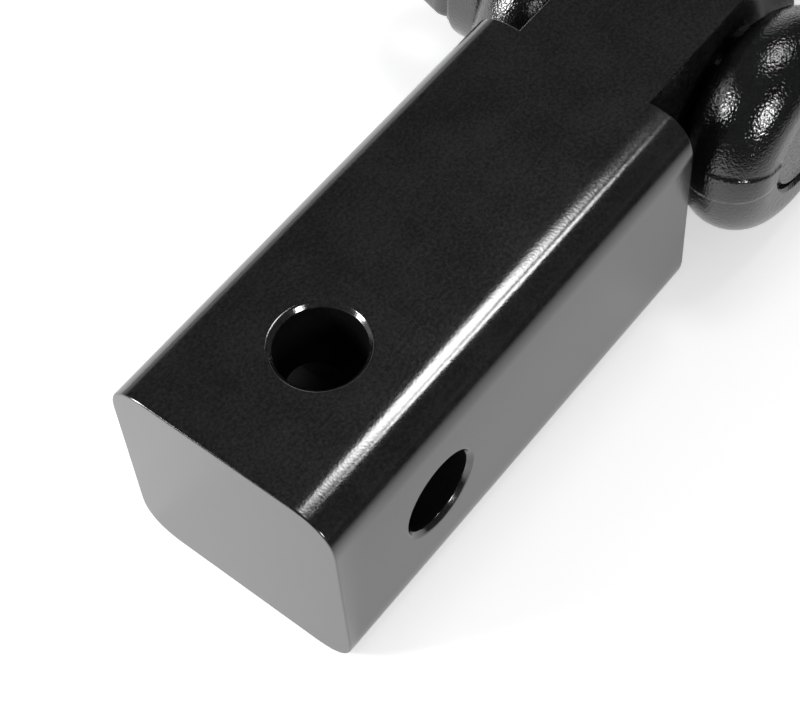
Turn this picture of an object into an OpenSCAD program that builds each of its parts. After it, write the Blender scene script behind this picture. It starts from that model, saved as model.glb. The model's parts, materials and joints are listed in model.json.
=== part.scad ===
// Shackle hitch: a solid square shank that slides into a receiver tube, with a
// flat tongue that carries a forged bow shackle on its screw pin.
// X runs from the inserted end towards the shackle, Y lies along the shackle's
// pin and Z points up. The origin is where the two hitch pin holes cross in the
// middle of the shank. The hitch lies on its bottom face, and the bow has swung
// down until its crown touches the same surface.

/* [Shank] */
// Side of the square bar
shank_size = 50.8; // [46:0.2:60]
// Radius of the four long corners of the bar
corner_r = 7.9; // [2:0.1:9]
// From the inserted end to the two crossing hitch pin holes
end_to_hole = 27.6; // [18:0.1:40]
// From the inserted end to the shoulders
shank_len = 105; // [70:1:250]
// Diameter of the two crossing hitch pin holes
hitch_hole_d = 17; // [12:0.1:20]
// Chamfer round the mouths of the hitch pin holes
hole_chamfer = 0.9; // [0.2:0.1:2]
// Broken edge round the ends of the bar and along the tongue
edge_break = 0.3; // [0.1:0.05:1.5]

/* [Tongue] */
// Thickness of the tongue
tongue_t = 29.8; // [20:0.1:33]
// Free play between the shackle pin and its hole, on the diameter
tongue_hole_play = 1.8; // [0.4:0.1:4]
// Room between the shackle's eyes and the shoulders
shoulder_room = 4.2; // [2:0.1:20]

/* [Shackle bow] */
// Room between the tongue and each eye
jaw_room = 1; // [0.4:0.1:3]
// Diameter of the forged bar
bar_d = 19.05; // [14:0.05:24]
// Thickness of the eyes
eye_t = 19.1; // [14:0.1:26]
// Outer diameter of the eyes
eye_d = 47.6; // [40:0.1:60]
// Width of the rounded rim of an eye
eye_rim = 9.2; // [4:0.1:11]
// Radius of the hollow where an arm widens into its eye
neck_r = 20; // [8:1:40]
// Inside width of the bow at its widest
bow_w = 50.8; // [44:0.2:64]
// Inside length of the bow, from the pin to the crown
bow_inside = 71.4; // [60:0.2:110]
// Straight stretch beyond the pin before an arm bends outwards
arm_straight = 12; // [4:1:20]
// Free play of the pin in the plain eye, on the diameter
plain_eye_play = 1; // [0.4:0.1:3]
// Chamfer round the mouths of the holes in the eyes and in the pin's head
eye_chamfer = 0.8; // [0.2:0.1:1.5]

/* [Shackle pin] */
// Diameter of the pin
pin_d = 22.2; // [16:0.1:25]
// Depth of the screw thread
thread_depth = 1.55; // [0.5:0.05:2.5]
// Play between the thread and its hole, on the diameter
thread_play = 0.2; // [0.1:0.05:0.6]
// How far the pin's end stays inside the threaded eye
end_recess = 0.6; // [0:0.1:4]
// Chamfer at the pin's threaded end
end_chamfer = 1.2; // [0.4:0.1:3]
// Diameter of the collar
collar_d = 31; // [28:0.5:38]
// Thickness of the collar
collar_t = 8.9; // [4:0.1:14]
// Rounding of the collar's rim
collar_round = 1.6; // [0.4:0.1:2]
// Gap left under the tightened collar
seat_gap = 0.05; // [0.02:0.01:0.3]
// Width of the flattened head where it leaves the collar
head_root_w = 30; // [22:0.5:30]
// Radius of the head's rounded end
head_end_r = 12; // [8:0.5:14]
// Radius of the head's corners at the collar
head_root_r = 4; // [3.2:0.1:8]
// Length of the head beyond the collar
head_len = 24; // [18:0.5:40]
// Thickness of the head
head_t = 11; // [6:0.5:16]
// Rounding of the head's edges
head_round = 3; // [0.5:0.1:3]
// Diameter of the hole through the head
head_hole_d = 10; // [4:0.5:12]
// Angle between the tightened head and the plane of the bow
head_turn = -5; // [-90:1:90]

/* [Hidden] */
$fn = 96;
steel_black = "#1d1e20";
coat_black = "#141416";
// How far a cut runs past the face that it opens.
over = 1;
half_bar = shank_size / 2;
inserted_x = -end_to_hole;
shoulder_x = inserted_x + shank_len;

eye_r = eye_d / 2;
bar_r = bar_d / 2;
flat_r = eye_r - eye_rim;
pin_x = shoulder_x + shoulder_room + eye_r;
tongue_hole_r = (pin_d + tongue_hole_play) / 2;
jaw_half = tongue_t / 2 + jaw_room;
outer_face = jaw_half + eye_t;

// The centre line of an arm: straight past the pin, an arc that bends
// outwards, then the large arc of the crown. The arcs meet tangentially.
eye_y = jaw_half + eye_t / 2;
crown_r = bow_w / 2 + bar_r;
crown_x = pin_d / 2 + bow_inside - bow_w / 2;
arm_run = crown_x - arm_straight;
bend = 2 * atan((crown_r - eye_y) / arm_run);
outward_r = arm_run / sin(bend) - crown_r;
outward_end = arm_straight + outward_r * bend * PI / 180;
path_end = outward_end + crown_r * (90 + bend) * PI / 180;

// Where the hollow of the neck leaves the eye's outline and joins the bar.
neck_end = sqrt(pow(eye_r + neck_r, 2) - pow(bar_r + neck_r, 2));
neck_start = neck_end * eye_r / (eye_r + neck_r);

// At rest the crown lies on the surface under the shank.
crown_reach = crown_x + crown_r;
droop = asin((half_bar - bar_r) / crown_reach);

pin_r = pin_d / 2;
core_r = pin_r - thread_depth;
tip_y = -outer_face + end_recess;
collar_y = outer_face + seat_gap;
head_y = collar_y + collar_t;

ring_points = 32;
outward_rings = 2;
arc_step = 7.5;

// A square bar along X with round corners and a broken edge at both ends.
module square_bar(x0, x1) {
    inner = half_bar - corner_r;
    for (side = [0, 1]) {
        x_end = side == 0 ? x0 : x1;
        turn = side == 0 ? 0 : 180;
        translate([x_end, 0, 0]) rotate([0, 0, turn]) {
            bar_end_wedge(inner, half_bar);
            rotate([90, 0, 0]) bar_end_wedge(inner, half_bar);
            for (sy = [-1, 1], sz = [-1, 1]) {
                translate([0, sy * inner, sz * inner]) rotate([0, 90, 0]) {
                    cylinder(r1 = corner_r - edge_break, r2 = corner_r, h = edge_break);
                }
            }
        }
    }
    translate([x0 + edge_break, 0, 0]) rotate([90, 0, 90]) {
        linear_extrude(x1 - x0 - 2 * edge_break) {
            square([shank_size, 2 * inner], center = true);
            square([2 * inner, shank_size], center = true);
            for (sy = [-1, 1], sz = [-1, 1]) {
                translate([sy * inner, sz * inner]) circle(corner_r);
            }
        }
    }
}

// The broken edge along two opposite flats of the bar's end.
module bar_end_wedge(flat_half, reach) {
    translate([0, 0, -flat_half]) linear_extrude(2 * flat_half) {
        polygon([[0, -reach + edge_break], [edge_break, -reach],
            [edge_break, reach], [0, reach - edge_break]]);
    }
}

// A hole along Z, with a chamfer at both mouths.
module chamfered_hole(r, half_len, chamfer) {
    cylinder(r = r, h = 2 * (half_len + over), center = true);
    for (side = [-1, 1]) {
        turn = side < 0 ? 180 : 0;
        rotate([turn, 0, 0]) translate([0, 0, half_len - chamfer]) {
            cylinder(r1 = r, r2 = r + chamfer + over, h = chamfer + over);
        }
    }
}

// The tongue: a full-height plate with a round end about the shackle pin.
module tongue() {
    t = tongue_t / 2;
    b = edge_break;
    root_x = shoulder_x - over - b;
    translate([root_x, 0, 0]) rotate([90, 0, 90]) linear_extrude(pin_x - root_x) {
        polygon([[-t + b, -half_bar], [t - b, -half_bar], [t, -half_bar + b], [t, half_bar - b],
            [t - b, half_bar], [-t + b, half_bar], [-t, half_bar - b], [-t, -half_bar + b]]);
    }
    translate([pin_x, 0, 0]) rotate([90, 0, 0]) {
        cylinder(r = half_bar, h = tongue_t - 2 * b, center = true);
        for (turn = [0, 180]) {
            rotate([turn, 0, 0]) translate([0, 0, t - b]) cylinder(r1 = half_bar, r2 = half_bar - b, h = b);
        }
    }
}

module shank() {
    color(steel_black) difference() {
        union() {
            square_bar(inserted_x, shoulder_x);
            tongue();
        }
        for (turn = [0, 90]) {
            rotate([turn, 0, 0]) chamfered_hole(hitch_hole_d / 2, half_bar, hole_chamfer);
        }
        translate([pin_x, 0, 0]) rotate([90, 0, 0]) {
            chamfered_hole(tongue_hole_r, tongue_t / 2, edge_break);
        }
    }
}

// Direction of the arm's centre line at a distance s along it from the pin.
function heading(s) =
    s <= arm_straight ? 0
    : s <= outward_end ? (s - arm_straight) / outward_r * 180 / PI
    : bend - (s - outward_end) / crown_r * 180 / PI;

// Point of the centre line on the side of positive Y.
function centre(s) =
    let (h = heading(s))
    s <= arm_straight ? [s, eye_y]
    : s <= outward_end ? [arm_straight + outward_r * sin(h), eye_y + outward_r * (1 - cos(h))]
    : [crown_x - crown_r * sin(h), crown_r * cos(h)];

// Half height of the forging at s: the round eye, the hollow neck, the bar.
function half_height(s) =
    s < neck_start ? sqrt(max(0, eye_r * eye_r - s * s))
    : s < neck_end ? bar_r + neck_r - sqrt(neck_r * neck_r - pow(s - neck_end, 2))
    : bar_r;

// Half height of the flat face of the eye at s.
function flat_half(s) = abs(s) < flat_r ? sqrt(flat_r * flat_r - s * s) : 0;

// Half thickness along the arm, from the eye's to the bar's.
function half_thick(s) =
    let (t = min(1, max(0, s / neck_end)))
    eye_t / 2 + (bar_r - eye_t / 2) * t * t * (3 - 2 * t);

// Falls from 1 to 0 like a quarter ellipse while u goes from 0 to 1.
function round_off(u) = sqrt(max(0, 1 - pow(min(1, max(0, u)), 2)));

// Half thickness at s and height z. Behind the pin the eye is a turned form.
function thick_at(s, z) =
    s < 0 ? eye_t / 2 * round_off((norm([s, z]) - flat_r) / eye_rim)
    : half_thick(s) * round_off((abs(z) - flat_half(s)) / (half_height(s) - flat_half(s)));

// One closed ring of points round the centre line. side is 1 or -1.
function ring(s, side) =
    let (c = centre(s), h = heading(s), b = half_height(s))
    [for (j = [0 : ring_points - 1])
        let (a = 360 * j / ring_points, z = b * cos(a), n = sign(sin(a)) * thick_at(s, z))
        [c[0] - n * sin(h), side * (c[1] + n * cos(h)), z]];

eye_back = [for (a = [12 : 12 : 84]) -eye_r * cos(a)];
eye_front = [for (i = [0 : 12]) neck_end * i / 12];
outward_arc = [for (i = [1 : outward_rings])
    neck_end + (outward_end - neck_end) * i / (outward_rings + 1)];
crown_arc = [for (a = [bend : -arc_step : -90 + arc_step / 2])
    outward_end + crown_r * (bend - a) * PI / 180];
stations = concat(eye_back, eye_front, outward_arc, crown_arc);

// The whole forging as one skin, from the back of one eye to that of the other.
module bow_skin() {
    last = len(stations) - 1;
    rings = concat(
        [for (s = stations) ring(s, 1)],
        [ring(path_end, 1)],
        [for (i = [last : -1 : 0]) ring(stations[i], -1)]);
    n = len(rings);
    skin = [for (r = rings, p = r) p];
    first_pole = len(skin);
    points = concat(skin, [[-eye_r, eye_y, 0], [-eye_r, -eye_y, 0]]);
    sides = [for (i = [0 : n - 2], j = [0 : ring_points - 1])
        let (k = (j + 1) % ring_points, a = i * ring_points, b = a + ring_points)
        each [[a + j, b + k, a + k], [a + j, b + j, b + k]]];
    poles = [for (j = [0 : ring_points - 1])
        let (k = (j + 1) % ring_points, e = (n - 1) * ring_points)
        each [[first_pole, j, k], [first_pole + 1, e + k, e + j]]];
    polyhedron(points, concat(sides, poles));
}

module shackle_bow() {
    threaded_r = (pin_d + thread_play) / 2;
    plain_r = (pin_d + plain_eye_play) / 2;
    color(coat_black) at_rest() difference() {
        bow_skin();
        rotate([-90, 0, 0]) {
            cylinder(r = plain_r, h = outer_face + over);
            mouth(plain_r, jaw_half, outer_face);
        }
        rotate([90, 0, 0]) {
            cylinder(r = threaded_r, h = outer_face + over);
            mouth(threaded_r, jaw_half, outer_face);
        }
    }
}

// The chamfers at the inner and the outer mouth of an eye's hole.
module mouth(r, inner, outer) {
    wide = r + eye_chamfer + over;
    translate([0, 0, outer - eye_chamfer]) cylinder(r1 = r, r2 = wide, h = eye_chamfer + over);
    translate([0, 0, inner - over]) cylinder(r1 = wide, r2 = r, h = eye_chamfer + over);
}

// Places what is drawn about the shackle's pin, with the bow along X.
module at_rest() {
    translate([pin_x, 0, 0]) rotate([0, droop, 0]) children();
}

// Half of the pin's outline, turned about the axis.
module pin_outline() {
    translate([0, tip_y + end_chamfer]) square([core_r, -jaw_half - tip_y - end_chamfer]);
    polygon([[0, tip_y], [core_r - end_chamfer, tip_y],
        [core_r, tip_y + end_chamfer], [0, tip_y + end_chamfer]]);
    polygon([[0, -jaw_half - thread_depth], [core_r, -jaw_half - thread_depth],
        [pin_r, -jaw_half], [pin_r, collar_y + over], [0, collar_y + over]]);
    translate([0, collar_y]) {
        square([collar_d / 2 - collar_round, collar_t]);
        translate([0, collar_round]) square([collar_d / 2, collar_t - 2 * collar_round]);
        for (y = [collar_round, collar_t - collar_round]) {
            translate([collar_d / 2 - collar_round, y]) circle(collar_round);
        }
    }
}

// A disc with rounded edges, one corner of the head's plate.
module soft_disc(r) {
    rotate_extrude($fn = 32) {
        square([r - head_round, head_t / 2]);
        square([r, head_t / 2 - head_round]);
        intersection() {
            translate([r - head_round, head_t / 2 - head_round]) circle(head_round, $fn = 24);
            square([r, head_t / 2]);
        }
    }
}

module shackle_pin() {
    end_y = head_y + head_len - head_end_r;
    color(coat_black) at_rest() difference() {
        union() {
            rotate([-90, 0, 0]) rotate_extrude() pin_outline();
            rotate([0, head_turn, 0]) hull() for (turn = [0, 180]) rotate([0, turn, 0]) {
                translate([0, end_y, 0]) soft_disc(head_end_r);
                translate([head_root_w / 2 - head_root_r, head_y + head_root_r / 2, 0]) {
                    soft_disc(head_root_r);
                }
            }
        }
        rotate([0, head_turn, 0]) translate([0, end_y, 0]) {
            chamfered_hole(head_hole_d / 2, head_t / 2, eye_chamfer);
        }
    }
}

shank();
shackle_bow();
shackle_pin();
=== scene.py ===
import json
import math
import bmesh
import bpy
from mathutils import Matrix, Vector


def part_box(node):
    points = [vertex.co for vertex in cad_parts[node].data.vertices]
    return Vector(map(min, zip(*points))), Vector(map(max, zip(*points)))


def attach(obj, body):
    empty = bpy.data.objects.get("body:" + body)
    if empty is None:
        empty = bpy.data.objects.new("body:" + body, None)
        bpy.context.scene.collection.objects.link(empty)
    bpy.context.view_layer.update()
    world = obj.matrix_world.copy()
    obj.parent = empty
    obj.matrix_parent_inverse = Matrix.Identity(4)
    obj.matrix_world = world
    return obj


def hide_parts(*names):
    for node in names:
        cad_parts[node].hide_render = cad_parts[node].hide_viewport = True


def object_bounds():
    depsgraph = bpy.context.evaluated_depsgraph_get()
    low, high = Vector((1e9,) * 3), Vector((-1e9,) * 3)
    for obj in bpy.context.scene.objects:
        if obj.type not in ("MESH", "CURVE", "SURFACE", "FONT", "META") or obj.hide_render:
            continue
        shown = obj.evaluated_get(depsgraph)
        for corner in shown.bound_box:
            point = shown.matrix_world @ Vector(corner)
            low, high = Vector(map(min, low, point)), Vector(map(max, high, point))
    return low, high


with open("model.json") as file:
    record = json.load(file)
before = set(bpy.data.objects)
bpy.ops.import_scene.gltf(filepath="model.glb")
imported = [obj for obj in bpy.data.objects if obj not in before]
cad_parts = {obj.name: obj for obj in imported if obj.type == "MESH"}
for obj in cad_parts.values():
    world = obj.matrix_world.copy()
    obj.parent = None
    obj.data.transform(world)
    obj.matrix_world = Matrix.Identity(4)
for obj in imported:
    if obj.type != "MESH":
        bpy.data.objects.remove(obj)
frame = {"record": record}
solid_low, solid_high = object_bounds()

# Shank: a solid square bar of steel, drilled twice for the hitch pin and milled
# down to a flat tongue, then coated semi-gloss black. Its long corners run out
# softly into the flats, as on rolled bar.
MM = 0.001
mounts = {mount["name"]: mount for mount in frame["record"]["mounts"]}
shank_low, shank_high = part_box("shank")
half_bar = shank_high.z
pin_x = shank_high.x - half_bar
insert_len = 105 * MM
shoulder_x = shank_low.x + insert_len
tongue_half = 14.9 * MM
tongue_hole_r = 12 * MM
hitch_hole_r = mounts["top_pin_hole"]["dims"]["r_mm"] * MM
hitch_chamfer = half_bar - mounts["top_pin_hole"]["dims"]["length_mm"] * MM / 2
corner_r = 7.9 * MM
corner_power = 2.5
corner_steps = 40
edge_round = 0.4 * MM
hole_roll = 0.7 * MM
tongue_chamfer = 0.3 * MM
edge_steps = 4
round_steps = 96
spare = 6 * MM
mouth_reach = 3
throat_share = 0.45
lip_share = 0.55
mouth_taper = 0.02
longest_round = 0.45
mill_corner = math.radians(30)
mill_margin = 1 * MM
near = 0.01 * MM
cut_over = 0.003 * MM
weld_gap = 0.0005 * MM


def mesh_piece(name, points, faces):
    """A new object from points in metres and faces, with its normals outwards."""
    shape = bmesh.new()
    corners = [shape.verts.new(point) for point in points]
    for face in faces:
        shape.faces.new([corners[i] for i in face])
    bmesh.ops.remove_doubles(shape, verts=shape.verts, dist=weld_gap)
    bmesh.ops.recalc_face_normals(shape, faces=shape.faces)
    data = bpy.data.meshes.new(name)
    shape.to_mesh(data)
    shape.free()
    piece = bpy.data.objects.new(name, data)
    bpy.context.scene.collection.objects.link(piece)
    return piece


def lofted(rings, closed_ends=True):
    """Points and faces of a skin over rings that all have the same count."""
    count = len(rings[0])
    points = [point for ring in rings for point in ring]
    faces = []
    for i in range(len(rings) - 1):
        for j in range(count):
            k = (j + 1) % count
            faces.append((i * count + j, i * count + k, (i + 1) * count + k, (i + 1) * count + j))
    if closed_ends:
        faces.append(tuple(range(count)))
        faces.append(tuple(range((len(rings) - 1) * count, len(rings) * count)))
    return points, faces


def softened(path, radius, steps=4):
    """The path with each inner corner rounded, as (across, along) pairs."""
    soft = [path[0]]
    for before, corner, after in zip(path, path[1:], path[2:]):
        a = Vector(before) - Vector(corner)
        b = Vector(after) - Vector(corner)
        half_turn = a.angle(b) / 2
        reach = min(radius / math.tan(half_turn), longest_round * a.length, longest_round * b.length)
        round_r = reach * math.tan(half_turn)
        inward = (a.normalized() + b.normalized()).normalized()
        middle = Vector(corner) + inward * round_r / math.sin(half_turn)
        first = Vector(corner) + a.normalized() * reach - middle
        last = Vector(corner) + b.normalized() * reach - middle
        sweep = first.angle_signed(last)
        for i in range(steps + 1):
            soft.append(tuple(middle + Matrix.Rotation(-sweep * i / steps, 2) @ first))
    soft.append(path[-1])
    return soft


def turned(path, steps, place):
    """A closed turned form. path runs from axis to axis as (radius, along)."""
    rings = []
    for radius, along in path[1:-1]:
        angles = [math.tau * i / steps for i in range(steps)]
        rings.append([place(radius * math.cos(a), radius * math.sin(a), along) for a in angles])
    return lofted(rings)


def through_hole(radius, half_length, chamfer, roll, place):
    """A cutter for a hole from face to face. roll rounds the chamfer into the face."""
    path = [(0, -half_length - spare)]
    for end in (-1, 1):
        face = end * (half_length + cut_over)
        throat = (radius, face - end * chamfer)
        lip = (radius + chamfer, face)
        half_way = (radius + throat_share * chamfer, face - end * lip_share * chamfer)
        inner = softened([(radius, face - end * mouth_reach * chamfer), throat, half_way], edge_round)[1:-1]
        outer = softened([half_way, lip, (radius + mouth_reach * chamfer + 2 * roll, face)], roll, 8)[1:-1]
        mouth = inner + outer
        mouth.append((mouth[-1][0] + mouth_taper * chamfer, face + end * spare))
        path += reversed(mouth) if end < 0 else mouth
    path.append((0, half_length + spare))
    return mesh_piece("cutter", *turned(path, round_steps, place))


def combine(piece, other, operation):
    """Adds the other solid to the piece or takes it out of it, for good."""
    boolean = piece.modifiers.new("combine", "BOOLEAN")
    boolean.operation = operation
    boolean.solver = "EXACT"
    boolean.object = other
    settle(piece)
    bpy.data.objects.remove(other)


def cut(piece, cutter):
    combine(piece, cutter, "DIFFERENCE")


def settle(piece):
    """Applies the piece's modifiers to its mesh."""
    graph = bpy.context.evaluated_depsgraph_get()
    graph.update()
    made = bpy.data.meshes.new_from_object(piece.evaluated_get(graph))
    piece.modifiers.clear()
    piece.data = made


def clean_mesh(piece):
    """Merges doubled points, splits many-sided faces and takes out empty ones."""
    shape = bmesh.new()
    shape.from_mesh(piece.data)
    bmesh.ops.remove_doubles(shape, verts=shape.verts, dist=weld_gap)
    bmesh.ops.dissolve_degenerate(shape, edges=shape.edges, dist=weld_gap)
    bmesh.ops.triangulate(shape, faces=[face for face in shape.faces if len(face.verts) > 4])
    bmesh.ops.dissolve_degenerate(shape, edges=shape.edges, dist=weld_gap)
    shape.to_mesh(piece.data)
    shape.free()


def shade(piece, sharp_degrees=35):
    """Smooth shading that keeps flats flat and corners above the angle sharp."""
    piece.data.shade_smooth()
    piece.data.set_sharp_from_angle(angle=math.radians(sharp_degrees))
    even = piece.modifiers.new("even flats", "WEIGHTED_NORMAL")
    even.mode = "FACE_AREA"
    even.weight = 100
    even.keep_sharp = True
    settle(piece)


def bar_outline(inset):
    """The square bar's section as (y, z), with corners of soft start."""
    reach = corner_r * (1 - math.sqrt(0.5)) / (1 - 0.5 ** (1 / corner_power))
    outline = []
    for quarter in range(4):
        turn = Matrix.Rotation(math.radians(90 * quarter), 2)
        for i in range(corner_steps + 1):
            t = math.radians(90 * i / corner_steps)
            u = math.cos(t) ** (2 / corner_power) if i < corner_steps else 0
            v = math.sin(t) ** (2 / corner_power)
            normal = Vector((u ** (corner_power - 1), v ** (corner_power - 1))).normalized()
            point = Vector((half_bar - reach, half_bar - reach)) + reach * Vector((u, v))
            outline.append(turn @ (point - inset * normal))
    return outline


def square_bar():
    rings = []
    for i in range(edge_steps + 1):
        t = math.radians(90 * i / edge_steps)
        x = shank_low.x + edge_round * (1 - math.cos(t))
        rings.append([(x, y, z) for y, z in bar_outline(edge_round * (1 - math.sin(t)))])
    rings.append([(shank_high.x + spare, y, z) for y, z in bar_outline(0)])
    return mesh_piece("shank_black", *lofted(rings))


def shoulder_cutter(side):
    """The block of steel that is milled away beside the tongue."""
    far = half_bar + spare
    points = [(x, side * y, z) for x in (shoulder_x, shank_high.x + 2 * spare)
              for y in (tongue_half, far) for z in (-far, far)]
    faces = [(0, 1, 3, 2), (4, 6, 7, 5), (0, 4, 5, 1), (2, 3, 7, 6), (0, 2, 6, 4), (1, 5, 7, 3)]
    return mesh_piece("cutter", points, faces)


def round_end_cutter():
    """What is taken off to give the tongue its round end about the pin."""
    far_x = shank_high.x + 2 * spare
    far_z = half_bar + spare
    side = [(pin_x, -far_z), (far_x, -far_z), (far_x, far_z), (pin_x, far_z)]
    for i in range(round_steps + 1):
        a = math.pi * (0.5 - i / round_steps)
        side.append((pin_x + half_bar * math.cos(a), half_bar * math.sin(a)))
    rings = [[(x, y, z) for x, z in side] for y in (-half_bar, half_bar)]
    return mesh_piece("cutter", *lofted(rings))


def along_y(u, v, along):
    return (u, along, v)


def along_z(u, v, along):
    return (u, v, along)


def about_pin(u, v, along):
    return (pin_x + u, along, v)


shank = square_bar()
for side in (-1, 1):
    cut(shank, shoulder_cutter(side))
cut(shank, round_end_cutter())

shape = bmesh.new()
shape.from_mesh(shank.data)
bmesh.ops.remove_doubles(shape, verts=shape.verts, dist=weld_gap)
milled = [edge for edge in shape.edges
          if edge.is_manifold and edge.calc_face_angle() > mill_corner
          and min(v.co.x for v in edge.verts) > shoulder_x - mill_margin
          and not (abs(edge.verts[0].co.x - shoulder_x) < near
                   and abs(edge.verts[1].co.x - shoulder_x) < near
                   and max(abs(v.co.y) for v in edge.verts) < tongue_half + near)]
bmesh.ops.bevel(shape, geom=milled, offset=edge_round, segments=3, profile=0.5,
                affect="EDGES", clamp_overlap=False, miter_outer="ARC")
shape.to_mesh(shank.data)
shape.free()

cut(shank, through_hole(hitch_hole_r, half_bar, hitch_chamfer, hole_roll, along_y))
cut(shank, through_hole(hitch_hole_r, half_bar, hitch_chamfer, hole_roll, along_z))
cut(shank, through_hole(tongue_hole_r, tongue_half, tongue_chamfer, edge_round, about_pin))
shade(shank)
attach(shank, "hitch")
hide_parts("shank")

# Look of the coats: both are dark paints over steel. One group makes the fine
# grain and another the tone and gloss that change from place to place. Waves and
# cells are counted per metre.
cloud_waves = 90.0
mottle_waves = 1500.0
cloud_share = 0.35
mottle_share = 0.65
speck_cells = 260.0
speck_edge = 0.035
speck_core = 0.02
grain_finer = 3.1
scratch_waves = 2600.0
scratch_edge = 0.73
scratch_core = 0.79


def node_group(name, inputs, outputs):
    """A shader node group with named inputs and outputs, and its two end nodes."""
    group = bpy.data.node_groups.new(name, "ShaderNodeTree")
    for label, kind, value in inputs:
        made = group.interface.new_socket(name=label, in_out="INPUT", socket_type=kind)
        made.default_value = value
    for label, kind in outputs:
        group.interface.new_socket(name=label, in_out="OUTPUT", socket_type=kind)
    start = group.nodes.new("NodeGroupInput")
    end = group.nodes.new("NodeGroupOutput")
    return group, start, end


def add_node(tree, kind, **settings):
    node = tree.nodes.new(kind)
    for key, value in settings.items():
        setattr(node, key, value)
    return node


def feed(tree, value, socket):
    """Gives a socket its value, which is another socket or a plain one."""
    if isinstance(value, bpy.types.NodeSocket):
        tree.links.new(value, socket)
    else:
        socket.default_value = value


def math_node(tree, operation, first, second=0.0):
    """A math node. first and second are sockets or plain numbers."""
    node = add_node(tree, "ShaderNodeMath", operation=operation)
    feed(tree, first, node.inputs[0])
    feed(tree, second, node.inputs[1])
    return node.outputs[0]


def map_range(tree, value, start, stop, low=0.0, high=1.0, kind="SMOOTHSTEP"):
    """Goes from low to high while the value goes from start to stop."""
    node = add_node(tree, "ShaderNodeMapRange", interpolation_type=kind)
    for label, given in (("Value", value), ("From Min", start), ("From Max", stop),
                         ("To Min", low), ("To Max", high)):
        feed(tree, given, node.inputs[label])
    return node.outputs["Result"]


def noise(tree, vector, scale, detail, roughness=0.5):
    """A 3D noise whose scale is a socket or a number, in waves per metre."""
    node = add_node(tree, "ShaderNodeTexNoise", noise_dimensions="3D", normalize=True)
    for label, given in (("Vector", vector), ("Scale", scale), ("Detail", detail),
                         ("Roughness", roughness)):
        feed(tree, given, node.inputs[label])
    return node.outputs["Fac"]


def peel_group():
    """Orange peel: rounded lumps of paint with a finer grain on them."""
    group, start, end = node_group(
        "paint_peel",
        [("Vector", "NodeSocketVector", (0, 0, 0)), ("Lumps per metre", "NodeSocketFloat", 1200.0),
         ("Fine share", "NodeSocketFloat", 0.2)],
        [("Height", "NodeSocketFloat")])
    vector = start.outputs["Vector"]
    lumps = noise(group, vector, start.outputs["Lumps per metre"], 1.0, 0.4)
    finer = math_node(group, "MULTIPLY", start.outputs["Lumps per metre"], grain_finer)
    grain = noise(group, vector, finer, 1.0, 0.5)
    grain = math_node(group, "MULTIPLY", grain, start.outputs["Fine share"])
    group.links.new(math_node(group, "ADD", lumps, grain), end.inputs["Height"])
    return group


def cloud_group():
    """Slow changes of tone and gloss, and specks of dust caught in the paint."""
    group, start, end = node_group(
        "paint_cloud",
        [("Vector", "NodeSocketVector", (0, 0, 0)), ("Dark", "NodeSocketColor", (0.01, 0.01, 0.011, 1)),
         ("Light", "NodeSocketColor", (0.02, 0.02, 0.022, 1)), ("Gloss low", "NodeSocketFloat", 0.15),
         ("Gloss high", "NodeSocketFloat", 0.25), ("Speck tone", "NodeSocketFloat", 0.08)],
        [("Color", "NodeSocketColor"), ("Roughness", "NodeSocketFloat")])
    vector = start.outputs["Vector"]
    slow = noise(group, vector, cloud_waves, 4.0, 0.6)
    quick = noise(group, vector, mottle_waves, 2.0, 0.6)
    blend = math_node(group, "ADD", math_node(group, "MULTIPLY", slow, cloud_share),
                      math_node(group, "MULTIPLY", quick, mottle_share))
    mix = add_node(group, "ShaderNodeMix", data_type="RGBA")
    group.links.new(map_range(group, blend, 0.35, 0.65), mix.inputs["Factor"])
    group.links.new(start.outputs["Dark"], mix.inputs[6])
    group.links.new(start.outputs["Light"], mix.inputs[7])
    cells = add_node(group, "ShaderNodeTexVoronoi", feature="F1", distance="EUCLIDEAN")
    cells.inputs["Scale"].default_value = speck_cells
    group.links.new(vector, cells.inputs["Vector"])
    speck = map_range(group, cells.outputs["Distance"], speck_edge, speck_core)
    lit = math_node(group, "MULTIPLY", speck, start.outputs["Speck tone"])
    bright = add_node(group, "ShaderNodeMix", data_type="RGBA", blend_type="ADD")
    bright.inputs["Factor"].default_value = 1.0
    group.links.new(mix.outputs[2], bright.inputs[6])
    group.links.new(lit, bright.inputs[7])
    group.links.new(bright.outputs[2], end.inputs["Color"])
    gloss = map_range(group, blend, 0.3, 0.7, start.outputs["Gloss low"],
                      start.outputs["Gloss high"], "LINEAR")
    group.links.new(gloss, end.inputs["Roughness"])
    return group


def scratch_group():
    """Hairline scratches in three directions, as a mask from 0 to 1."""
    group, start, end = node_group(
        "fine_scratches",
        [("Vector", "NodeSocketVector", (0, 0, 0)), ("Amount", "NodeSocketFloat", 0.5)],
        [("Mask", "NodeSocketFloat")])
    total = None
    for degrees, length in ((24, 150.0), (-38, 120.0), (81, 170.0)):
        turn = add_node(group, "ShaderNodeMapping")
        turn.inputs["Rotation"].default_value = (0, 0, math.radians(degrees))
        turn.inputs["Scale"].default_value = (length, scratch_waves, scratch_waves)
        group.links.new(start.outputs["Vector"], turn.inputs["Vector"])
        line = noise(group, turn.outputs["Vector"], 1.0, 0.0)
        thin = map_range(group, line, scratch_edge, scratch_core, kind="LINEAR")
        total = thin if total is None else math_node(group, "MAXIMUM", total, thin)
    group.links.new(math_node(group, "MULTIPLY", total, start.outputs["Amount"]), end.inputs["Mask"])
    return group


peel = peel_group()
cloud = cloud_group()
scratches = scratch_group()


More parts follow.
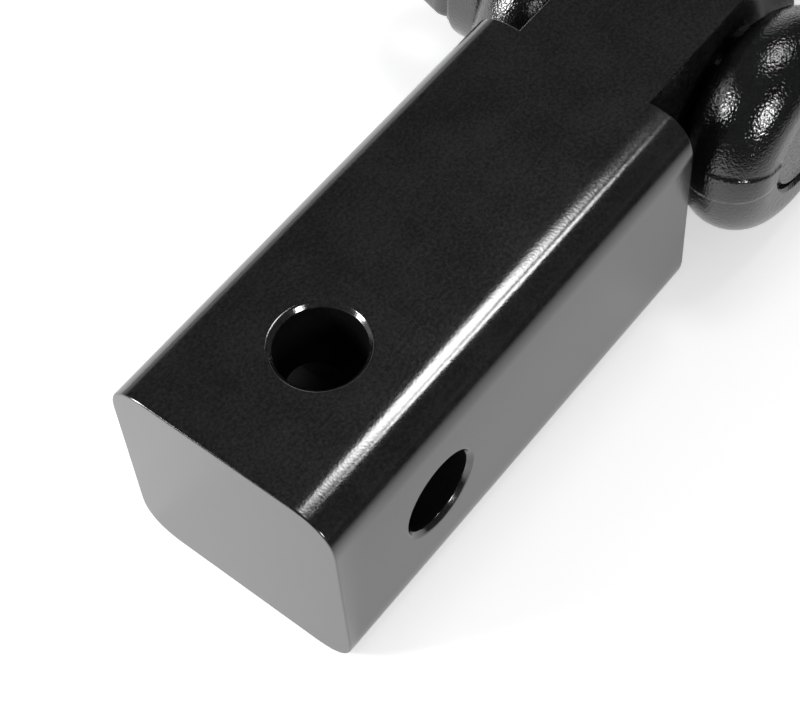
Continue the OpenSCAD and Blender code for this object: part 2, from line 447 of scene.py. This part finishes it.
def paint(name, dark, light, gloss, ior, lumps, fine, bump_depth, bump_strength, specks, scratched):
    """A black paint. dark and light are its tones, and gloss is a pair of roughnesses."""
    material = bpy.data.materials.new(name)
    material.use_nodes = True
    tree = material.node_tree
    shader = tree.nodes["Principled BSDF"]
    shader.inputs["IOR"].default_value = ior
    place = add_node(tree, "ShaderNodeTexCoord").outputs["Object"]
    tone = add_node(tree, "ShaderNodeGroup", node_tree=cloud)
    tone.inputs["Dark"].default_value = (*dark, 1)
    tone.inputs["Light"].default_value = (*light, 1)
    tone.inputs["Gloss low"].default_value = gloss[0]
    tone.inputs["Gloss high"].default_value = gloss[1]
    tone.inputs["Speck tone"].default_value = specks
    lines = add_node(tree, "ShaderNodeGroup", node_tree=scratches)
    lines.inputs["Amount"].default_value = scratched
    skin = add_node(tree, "ShaderNodeGroup", node_tree=peel)
    skin.inputs["Lumps per metre"].default_value = lumps
    skin.inputs["Fine share"].default_value = fine
    for node in (tone, lines, skin):
        tree.links.new(place, node.inputs["Vector"])
    scuffed = add_node(tree, "ShaderNodeMix", data_type="RGBA", blend_type="ADD")
    scuffed.inputs["Factor"].default_value = 1.0
    tree.links.new(tone.outputs["Color"], scuffed.inputs[6])
    tree.links.new(lines.outputs["Mask"], scuffed.inputs[7])
    tree.links.new(scuffed.outputs[2], shader.inputs["Base Color"])
    tree.links.new(tone.outputs["Roughness"], shader.inputs["Roughness"])
    bump = add_node(tree, "ShaderNodeBump")
    bump.inputs["Distance"].default_value = bump_depth
    bump.inputs["Strength"].default_value = bump_strength
    tree.links.new(skin.outputs["Height"], bump.inputs["Height"])
    tree.links.new(bump.outputs["Normal"], shader.inputs["Normal"])
    return material


shank_paint = paint("shank_black_coat", dark=(0.003, 0.003, 0.0032), light=(0.013, 0.013, 0.0138),
                    gloss=(0.1, 0.16), ior=2.25, lumps=2100.0, fine=0.4, bump_depth=0.02 * MM,
                    bump_strength=0.5, specks=0.04, scratched=0.003)

# The walls of the two drilled holes get a darker and duller coat than the outside of the bar.
bore_wall = paint("dull_bore_wall", dark=(0.0025, 0.0025, 0.0025), light=(0.0055, 0.0052, 0.005),
                  gloss=(0.6, 0.75), ior=1.2, lumps=1500.0, fine=0.5, bump_depth=0.05 * MM,
                  bump_strength=0.6, specks=0.0, scratched=0.0)
shank.data.materials.clear()
shank.data.materials.append(shank_paint)
shank.data.materials.append(bore_wall)
wall_limit = hitch_hole_r + 0.03 * MM
for face in shank.data.polygons:
    corners = [shank.data.vertices[i].co for i in face.vertices]
    from_axes = [max(math.hypot(corner.x, corner[across]) for corner in corners) for across in (1, 2)]
    if min(from_axes) < wall_limit:
        face.material_index = 1

# Bow: one forging. A round bar with a flattened eye at each end, bent to the bow
# shape; the trimmed flash of the dies runs round it as a low band. The eye on
# the left is plain, the one on the right is tapped. Gloss black paint.
jaw_room = 1 * MM
jaw_half = tongue_half + jaw_room
bar_d = 19.05 * MM
bar_r = bar_d / 2
eye_t = 19.1 * MM
eye_d = 47.6 * MM
eye_r = eye_d / 2
eye_rim = 9.2 * MM
neck_r = 20 * MM
bow_w = 50.8 * MM
bow_inside = 71.4 * MM
arm_straight = 12 * MM
pin_d = 22.2 * MM
pin_r = pin_d / 2
plain_eye_play = 0.5 * MM
plain_eye_r = pin_r + plain_eye_play
eye_chamfer = 0.8 * MM
tapped_r = 9.9 * MM
tapped_crest_r = 11.25 * MM
tapped_mouth_r = 11.5 * MM
thread_pitch = 2.82 * MM
thread_steps = 72
thread_rows = 8
root_from = 0.375
flank_share = 0.25
seam_gap = 0.002 * MM
thread_sliver = 0.001 * MM
tap_inside = 0.05 * MM
tap_run_out = 0.01 * MM
untapered_r = 1.0
band_middle = -0.4 * MM
band_half = 2.75 * MM
band_height = 0.3 * MM
band_rise = 0.25 * MM
band_fall = 0.3 * MM
band_wander = 0.22 * MM
band_ripple = 0.12 * MM
wander_waves = 260
ripple_waves = 610
ripple_slant = 340
wander_start = 1.2
wander_lift = 0.4
jaw_facing = (0.2, 0.5)
collar_seat_r = 15 * MM
collar_seat_fade = 1 * MM
outer_face = jaw_half + eye_t
end_recess = 0.6 * MM
thread_datum = -outer_face + end_recess
eye_y = jaw_half + eye_t / 2
flat_r = eye_r - eye_rim
crown_r = bow_w / 2 + bar_r
crown_x = pin_r + bow_inside - bow_w / 2
arm_run = crown_x - arm_straight
bend = 2 * math.atan((crown_r - eye_y) / arm_run)
outward_r = arm_run / math.sin(bend) - crown_r
outward_end = arm_straight + outward_r * bend
path_end = outward_end + crown_r * (math.pi / 2 + bend)
neck_end = math.sqrt((eye_r + neck_r) ** 2 - (bar_r + neck_r) ** 2)
neck_start = neck_end * eye_r / (eye_r + neck_r)
droop = math.asin((half_bar - bar_r) / (crown_x + crown_r))
at_rest = Matrix.Translation((pin_x, 0, 0)) @ Matrix.Rotation(droop, 4, "Y")
level_gap = 0.3 * MM
fine_levels = [level * MM for level in (0, 1.1, 1.8, 2.05, 2.3, 2.55, 2.8, 3.05, 3.3, 3.6)]
open_steps = 30
close_degrees = 12
wide_degrees = 3
wide_count = 26
eye_stations = 28
neck_stations = 10
crown_stations = 44


def heading(s):
    """Direction of an arm's centre line at a distance s along it from the pin."""
    if s <= arm_straight:
        return 0.0
    if s <= outward_end:
        return (s - arm_straight) / outward_r
    return bend - (s - outward_end) / crown_r


def centre(s):
    h = heading(s)
    if s <= arm_straight:
        return s, eye_y
    if s <= outward_end:
        return arm_straight + outward_r * math.sin(h), eye_y + outward_r * (1 - math.cos(h))
    return crown_x - crown_r * math.sin(h), crown_r * math.cos(h)


def half_height(s):
    if s < neck_start:
        return math.sqrt(max(0.0, eye_r ** 2 - s ** 2))
    if s < neck_end:
        return bar_r + neck_r - math.sqrt(neck_r ** 2 - (s - neck_end) ** 2)
    return bar_r


def half_thick(s):
    t = min(1.0, max(0.0, s / neck_end))
    return eye_t / 2 + (bar_r - eye_t / 2) * t * t * (3 - 2 * t)


def round_off(u):
    return math.sqrt(max(0.0, 1 - min(1.0, max(0.0, u)) ** 2))


def thick_at(s, z):
    flat = math.sqrt(flat_r ** 2 - s ** 2) if s < flat_r else 0.0
    return half_thick(s) * round_off((abs(z) - flat) / (half_height(s) - flat))


def levels(s):
    """Heights from the section's middle up to its top, closest near the band."""
    b = half_height(s)
    start = math.asin((fine_levels[-1] + level_gap) / b)
    rest = math.pi / 2 - start
    return fine_levels + [b * math.sin(start + rest * i / open_steps) for i in range(open_steps + 1)]


def section(s, side):
    """One closed ring round the arm, over the outer face and back by the inner."""
    x, y = centre(s)
    h = heading(s)
    up = levels(s)
    heights = [*reversed(up), *(-z for z in up[1:])]
    outer = [(thick_at(s, z), z) for z in heights]
    inner = [(-n, z) for n, z in reversed(outer[1:-1])]
    return [(x - n * math.sin(h), side * (y + n * math.cos(h)), z) for n, z in outer + inner]


def eye_back(side):
    """The turned half of an eye behind the pin, as points and faces."""
    close = [math.radians(a) for a in range(-close_degrees, close_degrees + 1)]
    wide = [math.radians(close_degrees + wide_degrees * i) for i in range(1, wide_count + 1)]
    turns = [-a for a in reversed(wide)] + close + wide
    up = levels(0)
    points = []
    for face in (1, -1):
        for turn in turns:
            for r in up:
                n = face * thick_at(0, r)
                points.append((-r * math.cos(turn), side * (eye_y + n), r * math.sin(turn)))
    faces = []
    count = len(up)
    for f in range(2):
        for i in range(len(turns) - 1):
            for j in range(count - 1):
                a = (f * len(turns) + i) * count + j
                quad = (a, a + 1, a + count + 1, a + count)
                faces.append(quad if j else quad[1:])
    return points, faces


def bow_blank():
    """The forging before it is drilled, from the pin's plane round to it again."""
    stations = [neck_end * (i / eye_stations) for i in range(eye_stations + 1)]
    outward_run = outward_end - neck_end
    stations += [neck_end + outward_run * i / neck_stations for i in range(1, neck_stations)]
    crown_run = path_end - outward_end
    stations += [outward_end + crown_run * i / crown_stations for i in range(crown_stations)]
    rings = [section(s, 1) for s in stations] + [section(path_end, 1)]
    # The mirrored rings run the same way round, over the outer face first.
    rings += [section(s, -1) for s in reversed(stations)]
    points, faces = lofted(rings, closed_ends=False)
    for side in (-1, 1):
        more, their_faces = eye_back(side)
        faces += [tuple(i + len(points) for i in face) for face in their_faces]
        points += more
    return mesh_piece("shackle_bow_black", points, faces)


def smooth_step(value, low, high):
    t = min(1.0, max(0.0, (value - low) / (high - low)))
    return t * t * (3 - 2 * t)


def raise_band(piece):
    """Lifts the low band that the trimmed flash leaves along the parting line."""
    piece.data.update()
    moves = []
    for vertex in piece.data.vertices:
        x, y, z = vertex.co
        wander = (band_wander * math.sin(x * wander_waves + wander_start)
                  + band_ripple * math.sin(x * ripple_waves + y * ripple_slant))
        off_middle = abs(z - band_middle - wander * wander_lift)
        half = band_half + wander
        height = 1 - smooth_step(off_middle, half - band_fall, half + band_rise)
        inward = -vertex.normal.y * (1 if y > 0 else -1)
        if x < neck_end and abs(y) < eye_y:
            height *= 1 - smooth_step(inward, *jaw_facing)
        if y > eye_y:
            # The collar of the pin sits flat on this eye, so no band runs under it.
            height *= smooth_step(math.hypot(x, z), collar_seat_r, collar_seat_r + collar_seat_fade)
        moves.append(vertex.normal * height * band_height)
    for vertex, move in zip(piece.data.vertices, moves):
        vertex.co += move


def eye_hole(radius, side, chamfer):
    """The cutter for one eye's hole, with the chamfer at both mouths."""
    def place(u, v, along):
        return (u, side * (eye_y + along), v)
    return through_hole(radius, eye_t / 2, chamfer, edge_round, place)


def thread_tree():
    """A screw thread about Y: a skin whose rows run up the helix, open at its ends."""
    tree = bpy.data.node_groups.new("screw_thread", "GeometryNodeTree")
    kinds = {"Turns": "NodeSocketInt", "Steps": "NodeSocketInt", "Material": "NodeSocketMaterial"}
    for label in ("Root radius", "Crest radius", "Pitch", "Low end", "High end", "End radius",
                  "Run-out", "Turns", "Steps", "Material"):
        kind = kinds.get(label, "NodeSocketFloat")
        tree.interface.new_socket(name=label, in_out="INPUT", socket_type=kind)
    tree.interface.new_socket(name="Geometry", in_out="OUTPUT", socket_type="NodeSocketGeometry")
    size = add_node(tree, "NodeGroupInput").outputs
    out = add_node(tree, "NodeGroupOutput")
    grid = add_node(tree, "GeometryNodeMeshGrid")
    grid.inputs["Size X"].default_value = 1.0
    grid.inputs["Size Y"].default_value = 1.0
    rows = math_node(tree, "MULTIPLY", size["Turns"], float(thread_rows))
    tree.links.new(math_node(tree, "ADD", size["Steps"], 1.0), grid.inputs["Vertices X"])
    tree.links.new(math_node(tree, "ADD", rows, 1.0), grid.inputs["Vertices Y"])
    flat = add_node(tree, "ShaderNodeSeparateXYZ")
    tree.links.new(add_node(tree, "GeometryNodeInputPosition").outputs[0], flat.inputs[0])
    round_share = math_node(tree, "ADD", flat.outputs["X"], 0.5)
    up_share = math_node(tree, "ADD", flat.outputs["Y"], 0.5)
    turns_up = math_node(tree, "MULTIPLY", up_share, size["Turns"])
    turns_up = math_node(tree, "SUBTRACT", math_node(tree, "ADD", turns_up, round_share), 1.0)
    free = math_node(tree, "ADD", size["Low end"], math_node(tree, "MULTIPLY", turns_up, size["Pitch"]))
    along = math_node(tree, "MAXIMUM", free, size["Low end"])
    along = math_node(tree, "MINIMUM", along, size["High end"])
    risen = math_node(tree, "SUBTRACT", along, size["Low end"])
    pitches = math_node(tree, "DIVIDE", risen, size["Pitch"])
    phase = math_node(tree, "SUBTRACT", pitches, round_share)
    from_crest = math_node(tree, "ABSOLUTE", math_node(
        tree, "SUBTRACT", math_node(tree, "FRACT", phase), 0.5))
    from_root = math_node(tree, "SUBTRACT", root_from, from_crest)
    flank = math_node(tree, "DIVIDE", from_root, flank_share)
    height = math_node(tree, "MINIMUM", math_node(tree, "MAXIMUM", flank, 0.0), 1.0)
    left = math_node(tree, "SUBTRACT", size["High end"], along)
    left = math_node(tree, "DIVIDE", left, size["Run-out"])
    height = math_node(tree, "MULTIPLY", height, math_node(tree, "MINIMUM", left, 1.0))
    depth = math_node(tree, "SUBTRACT", size["Crest radius"], size["Root radius"])
    radius = math_node(tree, "ADD", size["Root radius"], math_node(tree, "MULTIPLY", depth, height))
    radius = math_node(tree, "MINIMUM", radius, math_node(tree, "ADD", size["End radius"], risen))
    angle = math_node(tree, "MULTIPLY", round_share, math.tau)
    point = add_node(tree, "ShaderNodeCombineXYZ")
    for axis, turn in (("X", "COSINE"), ("Z", "SINE")):
        off_axis = math_node(tree, "MULTIPLY", radius, math_node(tree, turn, angle))
        tree.links.new(off_axis, point.inputs[axis])
    tree.links.new(along, point.inputs["Y"])
    wrap = add_node(tree, "GeometryNodeSetPosition")
    tree.links.new(grid.outputs["Mesh"], wrap.inputs["Geometry"])
    tree.links.new(point.outputs[0], wrap.inputs["Position"])
    seam = add_node(tree, "GeometryNodeMergeByDistance")
    seam.inputs["Distance"].default_value = seam_gap
    tree.links.new(wrap.outputs["Geometry"], seam.inputs["Geometry"])
    real = add_node(tree, "GeometryNodeRealizeInstances")
    tree.links.new(seam.outputs["Geometry"], real.inputs["Geometry"])
    finish = add_node(tree, "GeometryNodeSetMaterial")
    tree.links.new(real.outputs["Geometry"], finish.inputs["Geometry"])
    tree.links.new(size["Material"], finish.inputs["Material"])
    tree.links.new(finish.outputs["Geometry"], out.inputs["Geometry"])
    return tree


def thread_solid(name, low, high, root, crest, end_r, run_out, coat):
    """A closed piece from the thread tree, with its two ends filled. The low end
    tapers up from end_r at 45 degrees, or not at all where end_r is above the crest."""
    piece = mesh_piece(name, [(0, 0, 0)], [])
    modifier = piece.modifiers.new("thread", "NODES")
    modifier.node_group = screw_thread
    # Every thread starts at a whole number of pitches from the pin's own thread.
    steps_down = math.ceil((thread_datum - low) / thread_pitch)
    start = thread_datum - steps_down * thread_pitch
    values = {"Root radius": root, "Crest radius": crest, "Pitch": thread_pitch, "Low end": start,
              "High end": high, "End radius": end_r, "Run-out": run_out, "Steps": thread_steps,
              "Turns": math.ceil((high - start) / thread_pitch) + 1, "Material": coat}
    for item in screw_thread.interface.items_tree:
        if item.in_out == "INPUT":
            modifier[item.identifier] = values[item.name]
    settle(piece)
    shape = bmesh.new()
    shape.from_mesh(piece.data)
    bmesh.ops.dissolve_degenerate(shape, edges=shape.edges, dist=thread_sliver)
    open_edges = [edge for edge in shape.edges if edge.is_boundary]
    bmesh.ops.holes_fill(shape, edges=open_edges)
    bmesh.ops.recalc_face_normals(shape, faces=shape.faces)
    shape.to_mesh(piece.data)
    shape.free()
    return piece


screw_thread = thread_tree()
bow = bow_blank()
raise_band(bow)
cut(bow, eye_hole(plain_eye_r, 1, eye_chamfer))
cut(bow, eye_hole(tapped_r, -1, tapped_mouth_r - tapped_r))
cut(bow, thread_solid("tap", low=-outer_face - thread_pitch, high=-jaw_half + thread_pitch,
                      root=tapped_r - tap_inside, crest=tapped_crest_r, end_r=untapered_r,
                      run_out=tap_run_out, coat=None))
clean_mesh(bow)
bow.data.transform(at_rest)
shade(bow)
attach(bow, "bow")
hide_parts("shackle_bow")
bow_paint = paint("shackle_black_gloss", dark=(0.004, 0.004, 0.0045), light=(0.009, 0.009, 0.0095),
                  gloss=(0.04, 0.07), ior=1.97, lumps=1900.0, fine=0.25, bump_depth=0.11 * MM,
                  bump_strength=1.0, specks=0.03, scratched=0.0)
bow.data.materials.clear()
bow.data.materials.append(bow_paint)

# Screw pin: turned from bar, with a collar and a flattened head that is drilled
# for a tommy bar or seizing wire. Its end is threaded into the right eye.
tip_y = thread_datum
end_r = 9.8 * MM
thread_crest_r = 11.05 * MM
thread_run_out = 1.2 * MM
thread_depth = 1.55 * MM
core_inside = 0.6 * MM
core_start = 2 * MM
thread_gap = 0.8 * MM
pin_round = 0.3 * MM
core_r = pin_r - thread_depth
collar_r = 15.5 * MM
collar_gap = 0.05 * MM
collar_t = 8.9 * MM
collar_y = outer_face + collar_gap
head_y = collar_y + collar_t
collar_round = 1.6 * MM
round_off_steps = 8
head_len = 24 * MM
head_end_r = 12 * MM
head_root_half = 15 * MM
head_root_r = 4 * MM
head_half = 5.5 * MM
head_round = 3 * MM
fillet_r = 2.5 * MM
fillet_inset = 1.5 * MM
fillet_sunk = 0.5 * MM
fillet_under = 0.05 * MM
fillet_spread = 0.4
head_hole_r = mounts["head_hole"]["dims"]["r_mm"] * MM
head_turn = math.radians(-5)
hole_y = head_y + head_len - head_end_r


def pin_body():
    """The turned pin with its collar. The end that the thread covers is thinner."""
    inner_r = core_r - core_inside
    start = tip_y + core_start
    path = [(0, start), (inner_r, start), (inner_r, -jaw_half - thread_depth - core_inside),
            (pin_r, -jaw_half), (pin_r, collar_y)]
    soft = softened(path, pin_round)
    collar = [(pin_r, collar_y), (collar_r, collar_y), (collar_r, head_y), (0, head_y)]
    soft = soft[:-1] + softened(collar, collar_round, round_off_steps)
    return mesh_piece("shackle_pin_black", *turned(soft, round_steps, along_y))


def head_outline(inset):
    """The head's outline as points by the direction of their normal."""
    root = (head_root_half - head_root_r, head_y + head_root_r / 2)
    discs = [(0, hole_y, head_end_r), (*root, head_root_r), (-root[0], root[1], head_root_r)]
    outline = []
    for i in range(round_steps):
        a = math.tau * (i + 0.5) / round_steps
        c, s = math.cos(a), math.sin(a)
        x, y, disc_r = max(discs, key=lambda disc: disc[0] * c + disc[1] * s + disc[2])
        outline.append((x + (disc_r - inset) * c, y + (disc_r - inset) * s))
    return outline


def head_lug():
    rings = []
    for side in (-1, 1):
        part = []
        for i in range(round_off_steps + 1):
            t = math.radians(90 * i / round_off_steps)
            z = side * (head_half - head_round * (1 - math.sin(t)))
            part.append([(x, y, z) for x, y in head_outline(head_round * (1 - math.cos(t)))])
        rings += reversed(part) if side < 0 else part
    return mesh_piece("head", *lofted(rings))


def head_fillet():
    """The sweep from the lug's flats out to the collar, as forged."""
    rings = []
    for i in range(-1, round_off_steps + 1):
        t = math.radians(90 * max(i, 0) / round_off_steps)
        y = head_y + fillet_r * (1 - math.cos(t)) - (fillet_sunk if i < 0 else 0)
        sweep = fillet_r * (1 - math.sin(t))
        wide = head_root_half - fillet_inset + sweep * fillet_spread
        thick = head_half - fillet_under + sweep
        ring = []
        for k in range(round_steps):
            a = math.tau * (k + 0.5) / round_steps
            c, s = math.cos(a), math.sin(a)
            x = wide * math.copysign(abs(c) ** 0.5, c)
            ring.append((x, y, thick * math.copysign(abs(s) ** 0.5, s)))
        rings.append(ring)
    return mesh_piece("fillet", *lofted(rings))


def join(piece, other):
    combine(piece, other, "UNION")


pin = pin_body()
join(pin, head_fillet())
join(pin, head_lug())
join(pin, thread_solid("pin_thread", low=tip_y, high=-jaw_half - thread_gap, root=core_r,
                       crest=thread_crest_r, end_r=end_r, run_out=thread_run_out, coat=bow_paint))


def head_hole_place(u, v, along):
    return (u, hole_y + v, along)


cut(pin, through_hole(head_hole_r, head_half, eye_chamfer, edge_round, head_hole_place))
clean_mesh(pin)
pin.data.transform(at_rest @ Matrix.Rotation(head_turn, 4, "Y"))
shade(pin)
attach(pin, "pin")
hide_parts("shackle_pin")
pin.data.materials.clear()
pin.data.materials.append(bow_paint)

# Studio: a white floor, soft boxes overhead and low on both sides, and a dark
# ceiling, as the reflections in the photographed coat show them. Mirrored in the
# coat, the room is darker on the right than on the left, and the floor carries
# painted shade on the right.
floor_z = solid_low.z
floor_half = 4.0
floor_white = 0.92
floor_glow = 0.42
# The floor's painted shade in reflections runs from floor_dark_y to floor_light_y.
floor_dark_y = -0.18
floor_light_y = 0.02
floor_dark = 0.03
room_light = 0.45
room_dark = 0.06
horizon_low = 0.15
horizon_high = 0.3
room_right_y = -0.3
room_left_y = 0.5
room_right = 0.08
room_left = 0.6
room_centre = Vector((0.05, 0, 0))


def ray_mask(tree, names):
    """1 where the ray is one of the named kinds, else 0."""
    paths = add_node(tree, "ShaderNodeLightPath")
    total = paths.outputs[names[0]]
    for name in names[1:]:
        total = math_node(tree, "MAXIMUM", total, paths.outputs[name])
    return total


def white_floor():
    """White to the camera. Mirrored in the coat it carries painted shade on the right, and a painted shadow
    lies under the bar's hole.
    """
    half = floor_half
    floor = mesh_piece("floor", [(-half, -half, floor_z), (half, -half, floor_z),
                                 (half, half, floor_z), (-half, half, floor_z)], [(0, 1, 2, 3)])
    material = bpy.data.materials.new("white_floor")
    material.use_nodes = True
    tree = material.node_tree
    tree.nodes.clear()
    out = add_node(tree, "ShaderNodeOutputMaterial")
    matt = add_node(tree, "ShaderNodeBsdfDiffuse")
    lift = add_node(tree, "ShaderNodeEmission")
    where = add_node(tree, "ShaderNodeSeparateXYZ")
    tree.links.new(add_node(tree, "ShaderNodeTexCoord").outputs["Object"], where.inputs[0])
    # Painted shade: mirrored in the coat, the floor's colour and glow dim towards its right side.
    painted_shade_right = map_range(tree, where.outputs["Y"], floor_dark_y, floor_light_y, floor_dark)
    mirrored = ray_mask(tree, ("Is Glossy Ray",))
    level = add_node(tree, "ShaderNodeMix", data_type="FLOAT")
    tree.links.new(mirrored, level.inputs["Factor"])
    level.inputs["A"].default_value = 1.0
    tree.links.new(painted_shade_right, level.inputs["B"])
    seen = ray_mask(tree, ("Is Camera Ray", "Is Glossy Ray", "Is Transmission Ray"))
    from_hole = add_node(tree, "ShaderNodeVectorMath", operation="LENGTH")
    flat_place = add_node(tree, "ShaderNodeCombineXYZ")
    tree.links.new(where.outputs["X"], flat_place.inputs["X"])
    tree.links.new(where.outputs["Y"], flat_place.inputs["Y"])
    tree.links.new(flat_place.outputs[0], from_hole.inputs[0])
    # Painted shadow: no glow under the bar's hole, or its bottom would shine.
    beside = map_range(tree, from_hole.outputs["Value"], hitch_hole_r + hitch_chamfer, half_bar)
    seen = math_node(tree, "MULTIPLY", seen, beside)
    glow = math_node(tree, "MULTIPLY", seen, floor_glow)
    tree.links.new(math_node(tree, "MULTIPLY", glow, level.outputs["Result"]), lift.inputs["Strength"])
    tree.links.new(math_node(tree, "MULTIPLY", level.outputs["Result"], floor_white), matt.inputs["Color"])
    both = add_node(tree, "ShaderNodeAddShader")
    tree.links.new(matt.outputs[0], both.inputs[0])
    tree.links.new(lift.outputs[0], both.inputs[1])
    tree.links.new(both.outputs[0], out.inputs["Surface"])
    floor.data.materials.append(material)


def soft_box(name, direction, distance, wide, tall, radiance, fade):
    """A rectangular lamp that faces the object, wide across and tall in height.
    fade is the share of each half over which it dims to its edge."""
    data = bpy.data.lights.new(name, "AREA")
    data.shape = "RECTANGLE"
    data.size = wide
    data.size_y = tall
    data.energy = radiance * math.pi * wide * tall
    data.use_nodes = True
    tree = data.node_tree
    glow = tree.nodes["Emission"]
    spot = add_node(tree, "ShaderNodeSeparateXYZ")
    tree.links.new(add_node(tree, "ShaderNodeNewGeometry").outputs["Parametric"], spot.inputs[0])
    strength = None
    for part in ("X", "Y"):
        off_centre = math_node(tree, "ABSOLUTE", math_node(tree, "SUBTRACT", spot.outputs[part], 0.5))
        dim = map_range(tree, off_centre, 0.5, 0.5 * (1 - fade))
        strength = dim if strength is None else math_node(tree, "MULTIPLY", strength, dim)
    tree.links.new(strength, glow.inputs["Strength"])
    lamp = bpy.data.objects.new(name, data)
    bpy.context.scene.collection.objects.link(lamp)
    toward = Vector(direction).normalized()
    across = Vector((0, 0, 1)).cross(toward).normalized()
    upward = toward.cross(across)
    lamp.location = room_centre + toward * distance
    lamp.rotation_mode = "QUATERNION"
    lamp.rotation_quaternion = Matrix((across, upward, toward)).transposed().to_quaternion()
    return lamp


white_floor()
soft_box("overhead", (0.369, 0.083, 0.926), 1.2, wide=0.36, tall=0.3, radiance=9.0, fade=0.5)
soft_box("overhead_strip", (0.4, -0.137, 0.906), 1.2, wide=0.11, tall=0.31, radiance=11.0, fade=0.35)
soft_box("left", (-0.66, 0.58, 0.47), 1.3, wide=0.42, tall=0.62, radiance=24.0, fade=0.5)
soft_box("right", (-0.27, -0.855, 0.445), 1.4, wide=0.36, tall=0.5, radiance=22.0, fade=0.5)
soft_box("back", (0.78, 0.53, 0.3), 1.5, wide=0.7, tall=0.6, radiance=0.55, fade=0.6)

world = bpy.data.worlds.new("studio")
bpy.context.scene.world = world
world.use_nodes = True
sky = world.node_tree
sky.nodes.clear()
sky_out = add_node(sky, "ShaderNodeOutputWorld")
seen_sky = add_node(sky, "ShaderNodeBackground")
seen_sky.inputs["Color"].default_value = (1, 1, 1, 1)
room_sky = add_node(sky, "ShaderNodeBackground")
place = add_node(sky, "ShaderNodeTexCoord").outputs["Generated"]
parts = add_node(sky, "ShaderNodeSeparateXYZ")
sky.links.new(place, parts.inputs[0])
side_glow = map_range(sky, parts.outputs["Y"], room_right_y, room_left_y, room_right, room_left)
height = map_range(sky, parts.outputs["Z"], horizon_low, horizon_high, side_glow, room_dark)
room_level = add_node(sky, "ShaderNodeMix", data_type="FLOAT")
room_level.inputs["A"].default_value = room_light
sky.links.new(ray_mask(sky, ("Is Glossy Ray",)), room_level.inputs["Factor"])
sky.links.new(height, room_level.inputs["B"])
sky.links.new(room_level.outputs["Result"], room_sky.inputs["Strength"])
choice = add_node(sky, "ShaderNodeMixShader")
sky.links.new(ray_mask(sky, ("Is Camera Ray", "Is Transmission Ray")), choice.inputs["Fac"])
sky.links.new(room_sky.outputs[0], choice.inputs[1])
sky.links.new(seen_sky.outputs[0], choice.inputs[2])
sky.links.new(choice.outputs[0], sky_out.inputs["Surface"])

# Camera: above the inserted end, looking down along the bar, as it was fitted to
# the edges in the photograph.
camera_place = Vector((-137.254, -146.978, 334.841)) * MM
camera_target = Vector((19.044, -0.858, 0)) * MM
camera_roll = math.radians(-5.467)
camera_lens = 96.16
camera_data = bpy.data.cameras.new("camera")
camera_data.lens = camera_lens
camera_data.sensor_width = 36
camera_data.clip_start = 10 * MM
camera_data.clip_end = 50.0
camera = bpy.data.objects.new("camera", camera_data)
bpy.context.scene.collection.objects.link(camera)
aim = (camera_target - camera_place).to_track_quat("-Z", "Y").to_matrix()
camera.rotation_mode = "QUATERNION"
camera.location = camera_place
camera.rotation_quaternion = (aim @ Matrix.Rotation(camera_roll, 3, "Z")).to_quaternion()
bpy.context.scene.camera = camera
bpy.context.scene.view_settings.view_transform = "Standard"
